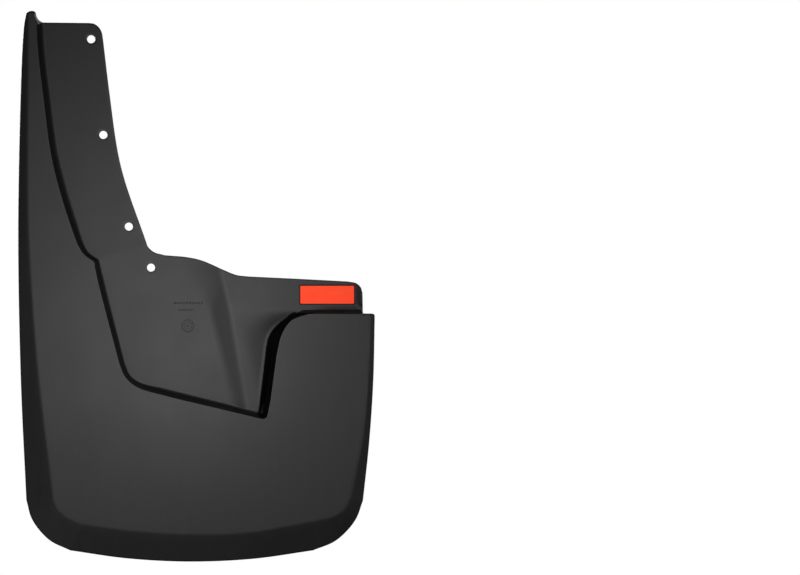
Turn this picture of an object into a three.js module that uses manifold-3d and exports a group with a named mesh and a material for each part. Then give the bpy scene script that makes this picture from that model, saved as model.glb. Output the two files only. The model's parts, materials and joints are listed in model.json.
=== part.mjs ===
// A moulded mud flap for the wheel arch of a truck, one hand of a mirror-image pair.
//
// One injection moulding carries everything: a flat flange and leaf that are screwed to the arch, a raised
// shield that stands out around them, and an arm that is taped to the liner of the arch. Units are millimetres.
// +Z is up, +X points inboard along the arm, and -Y is the contact side, so the flange presses against whatever
// lies at y < 0. The origin is on the contact face, 25 mm below the lowest screw hole.

import * as THREE from "three";
import { mergeVertices } from "three/addons/utils/BufferGeometryUtils.js";
import { TessellateModifier } from "three/addons/modifiers/TessellateModifier.js";
import Module from "manifold-3d";

// ---------------------------------------------------------------- driving dimensions

const WALL = 3; // the moulding's wall, measured along Y
const DRAFT_INSET = 2.5; // how far the inner skin of a sloping wall steps inwards
const SHIELD_Y = -13; // front of the shield at its edges
const CROWN = 4; // how much further out the middle of the shield stands
const CROWN_CENTRE = { x: 45, z: -140 };
const CROWN_REACH = { x: 130, z: 110 };
const CHAMFER_RATIO = 0.5; // depth of the border's chamfer for each millimetre of its width
const EDGE_DROP = 1.5; // depth of the softened edge where there is no chamfer
const BOND_SHARE = 0.9; // how far the leaf reaches into the foot of the riser, as a share of DRAFT_INSET
const TRENCH_OPENING = 0.3; // share of its length over which the trench deepens from the arm to its floor

const ARM_Y = -7.6; // front of the arm and of the upper fan
const RAMP_SLOPE = 0.38; // rise of the fold between the leaf and the fan
const FAN_FALL = 0.0268; // how the fan sinks back towards the tip of the leaf, below FAN_TOP_Z
const FAN_TOP_Z = -16;
const FOLD_TOP = { x: 49, z: 22 }; // the line along which the leaf starts to fold
const FOLD_BOTTOM = { x: 80, z: -105 };
const FAN_EDGE_LEAN = 0.3; // the inner skin of the fan's edge steps this much up for each step outboard

const SCREW_HOLE_DIAMETER = 8;
const SCREW_HOLES = [
  [-59.9, 253.8],
  [-47.7, 158.1],
  [-22.2, 66.4],
  [0, 25.4],
];

const TAPE_CENTRE = { x: 176.3, z: -1.7 };
const TAPE_THICKNESS = 1.2;
const TAPE_SIZE = { x: 55.6, z: 19.8 };
const LINER_THICKNESS = 0.3;
const LINER_SIZE = { x: 53.6, z: 17.8 };
const TAPE_CORNER = 1;
const LINER_CORNER = 0.8;

const BLOCK_DEPTH = 40; // half depth of the cutting blocks, deeper than the whole part
const BLOCK_SIDE = 1400;
const CURVE_STEP = 9; // length of the straight pieces that stand for a curved outline
const FIELD_STEP = 48; // longest edge on the crowned field
const TESSELLATE_PASSES = 12;
const HOLE_SIDES = 24;
const WELD = 1e-3; // corners closer than this are one corner
const SAME = 1e-4; // two values closer than this are the same

// ---------------------------------------------------------------- solids and cuts

const wasm = await Module();
wasm.setup();

function toSolid(geometry) {
  const bare = geometry.index ? geometry.toNonIndexed() : geometry.clone();
  bare.deleteAttribute("normal");
  bare.deleteAttribute("uv");
  const merged = mergeVertices(bare, WELD);
  return new wasm.Manifold(
    new wasm.Mesh({
      numProp: 3,
      vertProperties: merged.attributes.position.array,
      triVerts: new Uint32Array(merged.index.array),
    }),
  );
}

function toGeometry(solid) {
  const { vertProperties, triVerts } = solid.getMesh();
  const geometry = new THREE.BufferGeometry();
  geometry.setAttribute("position", new THREE.BufferAttribute(vertProperties, 3));
  geometry.setIndex(new THREE.BufferAttribute(triVerts, 1));
  geometry.computeVertexNormals();
  return geometry;
}

// A prism over an outline in the X-Z plane, from y = back to y = front (front < back).
function prism(outline, front, back) {
  const options = { depth: back - front, bevelEnabled: false };
  const geometry = new THREE.ExtrudeGeometry(new THREE.Shape(outline), options);
  geometry.rotateX(Math.PI / 2);
  geometry.translate(0, back, 0);
  return toSolid(geometry);
}

// Everything behind the plane y = slopeX * x + slopeZ * z + start.
function behindPlane(slopeX, slopeZ, start) {
  const block = new THREE.BoxGeometry(BLOCK_SIDE, 2 * BLOCK_DEPTH, BLOCK_SIDE);
  block.translate(0, BLOCK_DEPTH, 0);
  const shear = new THREE.Matrix4();
  shear.set(1, 0, 0, 0, slopeX, 1, slopeZ, start, 0, 0, 1, 0, 0, 0, 0, 1);
  return toSolid(block.applyMatrix4(shear));
}

// ---------------------------------------------------------------- outlines (x, z)

function smooth(points) {
  const knots = points.map(([x, z]) => new THREE.Vector3(x, 0, z));
  return new THREE.CatmullRomCurve3(knots, false, "centripetal");
}

// The shield's edge, stretch by stretch: `foot` is the outer edge of the border, or the foot of the riser where
// the shield meets the leaf; `crest` is where the border or riser reaches the shield's front. `meets` says what
// lies at the foot, and without it the stretch is a chamfered border. The foot of a stretch that `endsApart`
// doesn't end where the next one's starts.
const SHIELD_STRETCHES = [
  {
    name: "outboard side",
    foot: [
      [-124.8, 277.5], [-127.4, 252], [-130, 202],
      [-132.6, 60], [-130.1, -87], [-124.8, -207],
    ],
    crest: [[-122.8, 277], [-123, 239], [-123.6, 120], [-122, 43], [-113.5, -77], [-97.5, -207]],
  },
  {
    name: "lower outboard corner",
    foot: [[-124.8, -207], [-118.8, -227], [-102, -247], [-81, -257.5]],
    crest: [[-97.5, -207], [-92, -216], [-84, -223], [-68, -229.5]],
  },
  {
    name: "bottom",
    foot: [[-81, -257.5], [-24, -265.5], [39, -268.7], [103, -265.8], [162, -257.5]],
    crest: [[-68, -229.5], [-16, -236.5], [45, -240], [100, -238], [165, -226.5]],
  },
  {
    name: "lower inboard corner",
    foot: [[162, -257.5], [185, -247.5], [204, -227.5], [212, -207.5]],
    crest: [[165, -226.5], [181, -222.5], [191.5, -216], [197, -206.5]],
  },
  {
    name: "inboard side",
    foot: [[212, -207.5], [218.4, -147.5], [222.4, -87], [223.9, -23]],
    crest: [[197, -206.5], [209.3, -147], [215, -87], [218, -24]],
  },
  {
    name: "free top edge",
    foot: [[223.9, -23], [223.2, -21.2], [221.5, -20.6], [212.2, -20.4]],
    crest: [[218, -24], [217.6, -22.9], [216.8, -22.4], [212.8, -22.2]],
    meets: "air",
    endsApart: true,
  },
  {
    name: "under the arm",
    foot: [[212, -16], [180, -16.3], [150, -17]],
    crest: [[211.4, -21.4], [180, -21], [158, -21]],
    meets: "leaf",
  },
  {
    name: "trench",
    foot: [
      [150, -17], [136.5, -26], [127, -40], [122.5, -56],
      [119, -81.5], [115.3, -107.5], [112.3, -119],
    ],
    crest: [
      [158, -21], [141, -27.3], [131.5, -40.5], [127, -57],
      [123.3, -82], [119.7, -108], [116.7, -123],
    ],
    meets: "trench floor",
  },
  {
    name: "tip of the trench",
    foot: [[112.3, -119], [110.5, -120.1], [107.6, -119.5]],
    crest: [[116.7, -123], [114.5, -125.8], [110.7, -125.8]],
    meets: "tip floor",
    endsApart: true,
  },
  {
    name: "under the leaf",
    foot: [
      [107.4, -119.3], [69.3, -110.5], [13.2, -96.6],
      [-10.7, -90.8], [-21.5, -83.5], [-27.5, -70.5],
    ],
    crest: [
      [110.5, -125.7], [69.3, -115.8], [13.2, -102.3],
      [-13.5, -94], [-25.2, -84.2], [-31, -71.5],
    ],
    meets: "leaf",
  },
  {
    name: "outboard of the leaf",
    foot: [[-27.5, -70.5], [-40.8, -17], [-50, 20.3], [-53.3, 32.5]],
    crest: [[-31, -71.5], [-45.5, -17], [-54.7, 20.3], [-56.5, 31.2]],
    meets: "leaf",
  },
  {
    name: "outboard of the flange",
    foot: [
      [-53.3, 32.5], [-64.3, 41], [-75, 71], [-92.3, 133],
      [-101.2, 193.5], [-106.5, 239.4], [-108.3, 268.5],
    ],
    crest: [
      [-56.5, 31.2], [-68.3, 40.5], [-81.2, 71], [-98.6, 133],
      [-107, 193.5], [-112.4, 239.4], [-114.6, 268.5],
    ],
    meets: "leaf",
  },
  {
    name: "horn",
    foot: [
      [-108.3, 268.5], [-112, 271.8], [-114, 276], [-115.5, 280.7],
      [-118, 281.6], [-122, 281.3], [-124.8, 277.5],
    ],
    crest: [
      [-114.4, 268.5], [-115.2, 272], [-115.8, 276.3], [-117, 279],
      [-118.6, 279.7], [-121, 279.4], [-122.8, 277],
    ],
    meets: "air",
  },
];

// The free edge of flange, leaf and arm, from the horn round to the arm's end.
const LEAF_FREE_EDGE = [
  [[-108.3, 268.5], [-104.5, 270.4]],
  [[-104.5, 270.4], [-62, 270.1]],
  [[-62, 270.1], [-56.6, 269.2], [-51.7, 265.2], [-49.2, 260.5], [-47.8, 252.5]],
  [[-47.8, 252.5], [-41.8, 202.5], [-33.4, 142.5], [-26.2, 112.5], [-5.3, 52.5]],
  [[-5.3, 52.5], [-2.8, 45.9], [3, 41], [13.5, 37.9]],
  [[13.5, 37.9], [37.5, 35.7], [51.5, 32.4], [73.5, 22.8], [85.5, 18.1], [97.5, 16.6]],
  [[97.5, 16.6], [151.5, 14], [197, 11.6]],
  [[197, 11.6], [205.4, 9.8], [210, 5.5], [211.6, 0]],
  [[211.6, 0], [212, -16]],
];

// The fan's edge along the trench, from the arm down to the tip of the leaf.
const FAN_EDGE = [
  [151, -16.5],
  [143, -19],
  [133, -26.5],
  [123, -35],
  [117.5, -43.5],
  [115, -55],
  [112.5, -76],
  [107.7, -116],
];
// The rest of the outline around fan and arm runs clear of the part.
const FAN_SURROUND = [
  [104, -140],
  [30, -140],
  [30, 60],
  [240, 60],
  [240, -40],
  [151, -40],
];

// Long curves get pieces of CURVE_STEP, short ones at least two for each knot.
function pieceCount(curve) {
  const knots = curve.points.length;
  const fewest = knots > 2 ? 2 * (knots - 1) : 1;
  return Math.max(fewest, Math.round(curve.getLength() / CURVE_STEP));
}

function openLine(points) {
  const curve = smooth(points);
  return curve.getSpacedPoints(pieceCount(curve)).map((p) => new THREE.Vector2(p.x, p.z));
}

// ---------------------------------------------------------------- heights

function crown(x, z) {
  const sideways = (x - CROWN_CENTRE.x) / CROWN_REACH.x;
  const upwards = (z - CROWN_CENTRE.z) / CROWN_REACH.z;
  return CROWN * Math.exp(-sideways * sideways - upwards * upwards);
}

// The unit vector across the fold, inboard and up, and how far along it the fold lies.
const across = new THREE.Vector2(FOLD_TOP.z - FOLD_BOTTOM.z, FOLD_BOTTOM.x - FOLD_TOP.x).normalize();
const foldOffset = across.x * FOLD_TOP.x + across.y * FOLD_TOP.z;

function leafFront(x, z) {
  const ramp = -RAMP_SLOPE * (across.x * x + across.y * z - foldOffset);
  const fan = ARM_Y + Math.max(0, FAN_FALL * (FAN_TOP_Z - z));
  return Math.min(0, Math.max(ramp, fan));
}

// Where the outer skin lies at the foot of the shield's edge.
function footDepth(stretch, foot, crest, share) {
  if (stretch.meets === "leaf") return leafFront(foot.x, foot.z);
  if (stretch.meets === "trench floor") {
    const opening = THREE.MathUtils.smoothstep(share, 0, TRENCH_OPENING);
    return THREE.MathUtils.lerp(ARM_Y, 0, opening);
  }
  if (stretch.meets === "tip floor") return 0;
  if (stretch.meets === "air") return SHIELD_Y + EDGE_DROP;
  const width = Math.hypot(foot.x - crest.x, foot.z - crest.z);
  return SHIELD_Y + Math.max(EDGE_DROP, CHAMFER_RATIO * width);
}

// ---------------------------------------------------------------- the shield

// The loops that the shield's skins run through: foot and crest on the outer skin, and the same on the inner
// one. `bond` is where the leaf reaches into the riser, along the stretches where they meet.
function shieldLoops() {
  const loops = { foot: [], crest: [], footBack: [], crestBack: [], bond: [] };
  for (const stretch of SHIELD_STRETCHES) {
    const footCurve = smooth(stretch.foot);
    const crestCurve = smooth(stretch.crest);
    const pieces = pieceCount(footCurve);
    const feet = footCurve.getSpacedPoints(pieces);
    const crests = crestCurve.getSpacedPoints(pieces);
    const count = stretch.endsApart ? pieces + 1 : pieces;
    for (let i = 0; i < count; i++) {
      const foot = feet[i];
      const crest = crests[i];
      const inset = crest.clone().sub(foot).setLength(DRAFT_INSET);
      inset.y = WALL;
      foot.y = footDepth(stretch, foot, crest, i / pieces);
      crest.y = SHIELD_Y;
      loops.foot.push(foot);
      loops.crest.push(crest);
      loops.footBack.push(foot.clone().add(inset));
      loops.crestBack.push(crest.clone().add(inset));
      if (stretch.meets && stretch.meets !== "air") {
        loops.bond.push(new THREE.Vector2(foot.x + BOND_SHARE * inset.x, foot.z + BOND_SHARE * inset.z));
      }
    }
  }
  return loops;
}

// A prism over the crest's outline whose four rings of corners are moved to the loops, which makes a tray with
// a wall all round; then the field inside the crest is crowned.
function shieldSolid(loops) {
  const outline = loops.crest.map((p) => new THREE.Vector2(p.x, p.z));
  const rings = [loops.crestBack, loops.footBack, loops.foot, loops.crest];
  const steps = rings.length - 1;
  const options = { depth: steps, steps, bevelEnabled: false };
  const tray = new THREE.ExtrudeGeometry(new THREE.Shape(outline), options);
  const corners = tray.attributes.position;
  for (let i = 0; i < corners.count; i++) {
    const corner = new THREE.Vector2(corners.getX(i), corners.getY(i));
    const index = outline.findIndex((p) => p.distanceTo(corner) < SAME);
    const target = rings[Math.round(corners.getZ(i))][index];
    corners.setXYZ(i, target.x, target.y, target.z);
  }
  const crowned = new TessellateModifier(FIELD_STEP, TESSELLATE_PASSES).modify(tray);
  const place = crowned.attributes.position;
  for (let i = 0; i < place.count; i++) {
    const y = place.getY(i);
    const onField = Math.abs(y - SHIELD_Y) < SAME || Math.abs(y - SHIELD_Y - WALL) < SAME;
    if (onField) place.setY(i, y - crown(place.getX(i), place.getZ(i)));
  }
  return toSolid(crowned);
}

// ---------------------------------------------------------------- flange, leaf, fan and arm

// Everything behind the contact side: the flat plane, and the fan and arm that rise from it across the fold.
function behindLeaf(inset) {
  const ramp = behindPlane(-RAMP_SLOPE * across.x, -RAMP_SLOPE * across.y, RAMP_SLOPE * foldOffset);
  const arm = behindPlane(0, 0, ARM_Y);
  const fan = behindPlane(0, -FAN_FALL, ARM_Y + FAN_FALL * FAN_TOP_Z);
  const edge = openLine(FAN_EDGE.map(([x, z]) => [x - inset, z + inset * FAN_EDGE_LEAN]));
  const outline = [...edge, ...FAN_SURROUND.map(([x, z]) => new THREE.Vector2(x, z))];
  const raised = ramp.intersect(arm).intersect(fan).intersect(prism(outline, -BLOCK_DEPTH, BLOCK_DEPTH));
  return behindPlane(0, 0, 0).add(raised);
}

function leafSolid(loops) {
  const free = LEAF_FREE_EDGE.flatMap((points) => openLine(points).slice(0, -1));
  const outline = [...free, ...loops.bond];
  const skins = behindLeaf(0).subtract(behindLeaf(WALL).translate([0, WALL, 0]));
  return skins.intersect(prism(outline, -BLOCK_DEPTH / 2, BLOCK_DEPTH / 2));
}

function screwHoles() {
  const radius = SCREW_HOLE_DIAMETER / 2;
  const drills = SCREW_HOLES.map(([x, z]) => {
    const drill = new THREE.CylinderGeometry(radius, radius, BLOCK_DEPTH, HOLE_SIDES);
    drill.translate(x, 0, z);
    return toSolid(drill);
  });
  return drills.reduce((all, drill) => all.add(drill));
}

// ---------------------------------------------------------------- tape

// A flat pad with small round corners, its back on the plane y = back.
function padGeometry(size, corner, thickness, back) {
  const half = { x: size.x / 2, z: size.z / 2 };
  const shape = new THREE.Shape();
  shape.moveTo(-half.x + corner, -half.z);
  shape.lineTo(half.x - corner, -half.z);
  shape.absarc(half.x - corner, -half.z + corner, corner, -Math.PI / 2, 0);
  shape.lineTo(half.x, half.z - corner);
  shape.absarc(half.x - corner, half.z - corner, corner, 0, Math.PI / 2);
  shape.lineTo(-half.x + corner, half.z);
  shape.absarc(-half.x + corner, half.z - corner, corner, Math.PI / 2, Math.PI);
  shape.lineTo(-half.x, -half.z + corner);
  shape.absarc(-half.x + corner, -half.z + corner, corner, Math.PI, 1.5 * Math.PI);
  const options = { depth: thickness, bevelEnabled: false, curveSegments: 3 };
  const geometry = new THREE.ExtrudeGeometry(shape, options);
  geometry.rotateX(Math.PI / 2);
  geometry.translate(TAPE_CENTRE.x, back, TAPE_CENTRE.z);
  return geometry;
}

// ---------------------------------------------------------------- assembly

const blackPlastic = new THREE.MeshStandardMaterial({ color: 0x2b2b2c, roughness: 0.55, metalness: 0 });
const blackFoam = new THREE.MeshStandardMaterial({ color: 0x161616, roughness: 0.95, metalness: 0 });
const redFilm = new THREE.MeshStandardMaterial({ color: 0xff4b2b, roughness: 0.4, metalness: 0 });

function mouldingMesh() {
  const loops = shieldLoops();
  const whole = shieldSolid(loops).add(leafSolid(loops)).subtract(screwHoles());
  return new THREE.Mesh(toGeometry(whole), blackPlastic);
}

const flap = new THREE.Group();

const moulding = mouldingMesh();
moulding.name = "flap_moulding";
flap.add(moulding);

const foam = new THREE.Mesh(padGeometry(TAPE_SIZE, TAPE_CORNER, TAPE_THICKNESS, ARM_Y), blackFoam);
foam.name = "foam_tape";
flap.add(foam);

const linerBack = ARM_Y - TAPE_THICKNESS;
const liner = new THREE.Mesh(padGeometry(LINER_SIZE, LINER_CORNER, LINER_THICKNESS, linerBack), redFilm);
liner.name = "release_liner";
flap.add(liner);

export default flap;
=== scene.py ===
"""The looks of a moulded mud flap: its fine surface, its tape, its release film and their materials.

Shapes are worked out in millimetres, as (x, z) outlines with a height y, and become metres in make_piece.
-Y is the contact side of the flap, which faces the camera.
"""

import json
import math

import bmesh
import bpy
import numpy as np
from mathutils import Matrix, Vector
from mathutils.geometry import delaunay_2d_cdt


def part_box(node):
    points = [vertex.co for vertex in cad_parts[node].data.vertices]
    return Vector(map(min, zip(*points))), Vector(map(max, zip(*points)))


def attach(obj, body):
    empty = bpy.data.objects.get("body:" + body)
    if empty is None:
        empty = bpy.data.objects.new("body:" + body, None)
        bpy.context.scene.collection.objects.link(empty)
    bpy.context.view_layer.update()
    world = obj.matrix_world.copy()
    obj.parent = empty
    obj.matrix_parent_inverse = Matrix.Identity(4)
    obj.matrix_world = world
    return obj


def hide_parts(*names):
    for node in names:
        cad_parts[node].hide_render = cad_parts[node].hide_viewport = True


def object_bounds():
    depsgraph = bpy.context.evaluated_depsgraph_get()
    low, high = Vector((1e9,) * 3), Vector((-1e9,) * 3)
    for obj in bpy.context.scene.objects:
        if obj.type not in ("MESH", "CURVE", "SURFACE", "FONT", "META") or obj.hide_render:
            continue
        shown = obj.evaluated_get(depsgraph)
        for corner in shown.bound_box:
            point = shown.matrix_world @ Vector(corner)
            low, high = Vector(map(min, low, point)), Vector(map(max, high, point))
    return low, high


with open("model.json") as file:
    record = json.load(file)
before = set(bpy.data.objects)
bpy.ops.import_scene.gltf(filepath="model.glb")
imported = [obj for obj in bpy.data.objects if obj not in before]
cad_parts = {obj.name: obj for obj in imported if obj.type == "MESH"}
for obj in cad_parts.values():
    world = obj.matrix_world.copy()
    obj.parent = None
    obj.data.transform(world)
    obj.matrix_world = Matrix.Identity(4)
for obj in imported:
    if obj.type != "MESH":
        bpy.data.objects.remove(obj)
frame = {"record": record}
CAD_BOX = [list(corner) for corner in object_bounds()]

MM = 0.001

# ---------------------------------------------------------------- sizes of the moulding

WALL = 3.0  # the moulding's wall, measured along Y
DRAFT_INSET = 2.5  # how far the inner skin of a sloping wall steps inwards
SHIELD_Y = -13.0
CROWN = 4.0
CROWN_CENTRE = (45.0, -140.0)
CROWN_REACH = (130.0, 110.0)
CHAMFER_RATIO = 0.5
EDGE_DROP = 1.5
HORN_LIFT = 0.6  # share of the horn's edge over which it rises from flange to shield

ARM_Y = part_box("foam_tape")[1].y / MM
RAMP_SLOPE = 0.38
FAN_FALL = 0.0268  # how the fan sinks back towards the tip of the leaf, below FAN_TOP_Z
FAN_TOP_Z = -16.0
FAN_TIP_Z = -116.0
FOLD_TOP = np.array([49.0, 22.0])
FOLD_BOTTOM = np.array([80.0, -105.0])
FACET_AT_TOP = 2.0  # width of the flat facet between ramp and fan, at the arm and at the tip
FACET_AT_TIP = 9.0
FAN_ROLL = 0.016  # how the fan rolls back from facet to lip, as slope gained for each millimetre
FAN_ROLL_START = 0.385  # share of the way down the fan over which that roll comes in
FAN_EASE = 3.0  # length over which facet, fan and lip run into each other
LIP_WIDTH = 3.0  # the flat lip along the fan's edge
LIP_EASE = 1.0
FOLD_ROUNDING = 0.9  # height over which the fold from ramp to facet is rounded
TOE_ROUNDING = 1.4  # the same for the fold from leaf to ramp, at its sharpest
TOE_SPREAD_ABOVE = 7.0  # how much softer that fold gets towards the arm's top edge, and the tip
TOE_SPREAD_BELOW = 1.2
ARM_BLEND = (-22.0, 18.0)  # heights between which the fold softens towards the arm's top edge
ARM_END_X = 204.0  # from here the arm's end rolls back at this slope
ARM_END_SLOPE = 0.7
ARM_END_EASE = 1.5
ARM_END_FADE = 7.0  # height over which that roll comes in, above the arm's lower corner
ARM_UNDER_Z = -12.3  # the strip under the tape rolls back too, coming in over ARM_UNDER_START
ARM_UNDER_SLOPE = 0.4
ARM_UNDER_EASE = 1.0
ARM_UNDER_REACH = 5.0
ARM_UNDER_START = (150.0, 185.0)
FAN_WALL_ROUNDING = 0.7
# Distances from the fan's edge of the lines of corners that carry its lip (-) and its wall (+).
FAN_LINES = (-5.0, -4.0, -3.2, -2.4, -1.6, -0.8, 0.0, 0.35, 0.75, 1.5, 2.6, 3.8, 5.0, 6.0, 6.7)
TRENCH_START = np.array([150.0, -17.0])
TRENCH_OPENING = 30.0  # length over which the trench deepens from the arm to its floor
TRENCH_DEPTH = 1.5  # how far the trench's floor lies behind the leaf
TRENCH_LEAST = 1.5  # the least width that its walls share
TRENCH_SPAN_Z = (-125.0, -19.0)  # heights between which its walls are left ungrained and rough, and painted near black as shade
BEND_START = np.array([-53.0, 35.0])  # a faint ridge runs from the jog in the riser to the neck
BEND_END = np.array([-8.0, 46.0])
BEND_LIFT = 0.22
BEND_SPREAD = 7.0

RISER_FOOT_SHARE = 0.78  # share of a riser's width that its concave foot takes
TRENCH_FOOT_SHARE = 0.12  # the same in the trench and under the arm
RISER_FOOT_REACH = 1.8  # how far that foot runs out onto the leaf
REACH_EASE = 6  # columns over which that reach comes and goes
RISER_CREST = 0.45  # plan width of a riser's rounded crest
CHAMFER_CREST = 3.2  # the same for a chamfer, or this share of it where it is narrow
CHAMFER_CREST_SHARE = 0.4
CHAMFER_FOOT = (0.05, 0.15)  # shares of a chamfer's width between which its lowest rings lie
LANDING = 0.6  # a narrow strip of faces beside a wall, which keeps its shading off the flats
INNER_LANDING = 0.1
EDGE_INSET = 1.0  # plan width of the rounded free edge
BEZIER_REACH = 4.0 / 3.0  # handle length that makes a cubic's bulge just touch the outline

COLUMN_STEP = 1.6  # spacing of the columns of corners round the shield
FRONT_RINGS = (7, 3, 3)  # rings of corners on a wall's foot, slope and crest
BACK_RINGS = (4, 3, 2)
RIM_STEPS = 7
FIELD_GRID = 4.0
LEAF_GRID = 2.0
BACK_GRID = 3.0
BACK_FIELD_GRID = 4.5
HOLE_SIDES = 44
CLEAR_OF_EDGE = 0.35  # the least distance from the corners along the fan's edge to the leaf's edge
CLEAR_OF_LINES = 0.6  # and from the grid to those corners, as a share of the grid's step
LINE_STEP = 0.7  # how far apart those corners are, as the same share
WELD = 2e-6  # metres
STEEP_START = 0.8  # a face counts as a wall, which the etching can't reach and whose colour is painted darker as shade, as its normal turns from Y
STEEP_FULL = 0.45
FRONT_FACING = 0.3  # corners whose normal's y is under this belong to the front
CONVEX_FULL_ANGLE = 0.5  # radians between two faces at which a convex edge is lightened most


def screw_holes():
    """The four hole centres (x, z), from the openings that the record states."""
    openings = frame["record"]["physics"]["openings"]
    boxes = [opening["box_m"] for opening in openings if opening["name"].startswith("screw_hole")]
    return [np.array([(lo[0] + hi[0]) / 2, (lo[2] + hi[2]) / 2]) / MM for lo, hi in boxes]


SCREW_HOLES = screw_holes()
SCREW_HOLE_RADIUS = 4.0

# The shield's edge, stretch by stretch, anticlockwise from the flange: `foot` is the outer edge of the
# border, or the foot of the riser where the shield meets the leaf; `crest` is where border or riser reaches
# the front. `edge` says what the foot is on a free edge: a chamfer, or a rise between two heights. Without
# it the foot lies on the leaf or in the trench. An `open foot` runs out onto the leaf in a hollow curve.
SHIELD_STRETCHES = [
    {
        "name": "horn",
        "edge": "horn",
        "foot": [
            (-108.4, 270.6), (-111.4, 272.4), (-113.9, 276), (-115, 280.3),
            (-117.2, 281.7), (-121, 281.4), (-124.2, 279.4),
        ],
        "crest": [
            (-114.4, 269.6), (-115, 272.4), (-115.7, 276.3), (-116.7, 279),
            (-118.2, 279.8), (-120.6, 279.5), (-122.2, 278.6),
        ],
    },
    {
        "name": "outboard side",
        "edge": "chamfer",
        "foot": [
            (-124.2, 279.4), (-126.3, 269.5), (-128, 250), (-130, 202),
            (-132.6, 60), (-130.1, -87), (-124.8, -207),
        ],
        "crest": [
            (-122.2, 278.6), (-121.2, 268), (-121, 239), (-121.5, 120),
            (-119.8, 43), (-111.2, -77), (-95.2, -207),
        ],
    },
    {
        "name": "lower outboard corner",
        "edge": "chamfer",
        "foot": [(-124.8, -207), (-118.8, -227), (-102, -247), (-81, -257.5)],
        "crest": [(-95.2, -207), (-90.3, -215.5), (-82.5, -222.4), (-68, -229.5)],
    },
    {
        "name": "bottom",
        "edge": "chamfer",
        "foot": [(-81, -257.5), (-24, -265.5), (39, -268.7), (103, -265.8), (162, -257.5)],
        "crest": [(-68, -229.5), (-16, -236.5), (45, -240), (100, -238), (165, -226.5)],
    },
    {
        "name": "lower inboard corner",
        "edge": "chamfer",
        "foot": [(162, -257.5), (185, -247.5), (204, -227.5), (212, -207.5)],
        "crest": [(165, -226.5), (181, -222.5), (191.5, -216), (197, -206.5)],
    },
    {
        "name": "inboard side",
        "edge": "chamfer",
        "foot": [(212, -207.5), (218.4, -147.5), (222.4, -87), (223.9, -23)],
        "crest": [(197, -206.5), (209.3, -147), (215, -87), (218, -24)],
    },
    {
        "name": "free top edge",
        "edge": "chamfer",
        "foot": [(223.9, -23), (223.2, -21.2), (221.5, -20.6), (212.2, -20.4)],
        "crest": [(218, -24), (217.6, -22.9), (216.8, -22.4), (212.1, -22.3)],
    },
    {
        "name": "end of the riser",
        "edge": "riser end",
        "foot": [(212.2, -20.4), (212, -16)],
        "crest": [(212.1, -22.3), (211.4, -21.4)],
    },
    {
        "name": "under the arm",
        "foot": [(212, -16), (180, -16.3), (150, -17)],
        "crest": [(211.4, -21.4), (180, -21), (158, -21)],
    },
    {
        "name": "trench",
        "foot": [
            (150, -17), (136.5, -26), (127, -40), (122.5, -56),
            (119, -81.5), (115.3, -107.5), (112.3, -119),
        ],
        "crest": [
            (158, -21), (141, -27.3), (131.5, -40.5), (127, -57),
            (123.3, -82), (119.7, -108), (116.7, -123),
        ],
    },
    {
        "name": "tip of the trench",
        "foot": [(112.3, -119), (110.5, -120.1), (107.4, -119.3)],
        "crest": [(116.7, -123), (114.5, -125.8), (110.5, -125.7)],
    },
    {
        "name": "under the leaf",
        "open foot": True,
        "foot": [
            (107.4, -119.3), (69.3, -110.5), (13.2, -96.6),
            (-10.7, -90.8), (-21.5, -83.5), (-27.5, -70.5),
        ],
        "crest": [
            (110.5, -125.7), (69.3, -115.8), (13.2, -102.3),
            (-13.5, -94), (-25.2, -84.2), (-31, -71.5),
        ],
    },
    {
        "name": "outboard of the leaf",
        "open foot": True,
        "foot": [(-27.5, -70.5), (-40.8, -17), (-50, 20.3), (-53.3, 32.5)],
        "crest": [(-31, -71.5), (-45.5, -17), (-54.7, 20.3), (-56.5, 31.2)],
    },
    {
        "name": "outboard of the flange",
        "open foot": True,
        "foot": [
            (-53.3, 32.5), (-64.3, 41), (-75, 71), (-92.3, 133),
            (-101.2, 193.5), (-106.5, 239.4), (-108.4, 270.6),
        ],
        "crest": [
            (-56.5, 31.2), (-68.3, 40.5), (-81.2, 71), (-98.6, 133),
            (-107, 193.5), (-112.4, 239.4), (-114.4, 269.6),
        ],
    },
]

# The free edge of flange, leaf and arm, from the horn round to the arm's end.
LEAF_FREE_EDGE = [
    [(-108.4, 270.6), (-62, 270.1)],
    [(-62, 270.1), (-56.6, 269.2), (-51.7, 265.2), (-49.2, 260.5), (-47.8, 252.5)],
    [(-47.8, 252.5), (-41.8, 202.5), (-33.4, 142.5), (-26.2, 112.5), (-5.3, 52.5)],
    [(-5.3, 52.5), (-2.8, 45.9), (3, 41), (13.5, 37.9)],
    [(13.5, 37.9), (37.5, 35.7), (51.5, 32.4), (73.5, 22.8), (85.5, 18.1), (97.5, 16.6)],
    [(97.5, 16.6), (151.5, 14), (197, 11.6)],
    [(197, 11.6), (205.4, 9.8), (210, 5.5), (211.6, 0)],
    [(211.6, 0), (212, -16)],
]

ARM_CORNER = (np.array([212.0]), np.array([-16.0]))  # where the arm's end meets the riser

# The fan's edge along the trench, from the arm down past the tip of the leaf, and the rest of an outline
# round everything that lies beyond it.
FAN_EDGE = [
    (151, -16.5), (143, -19), (133, -26.5), (123, -35), (117.5, -43.5),
    (115, -55), (112.5, -76), (107.7, -116), (104, -140),
]
BEYOND_FAN = [(260, -140), (260, -16.5)]

# ---------------------------------------------------------------- outlines


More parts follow.
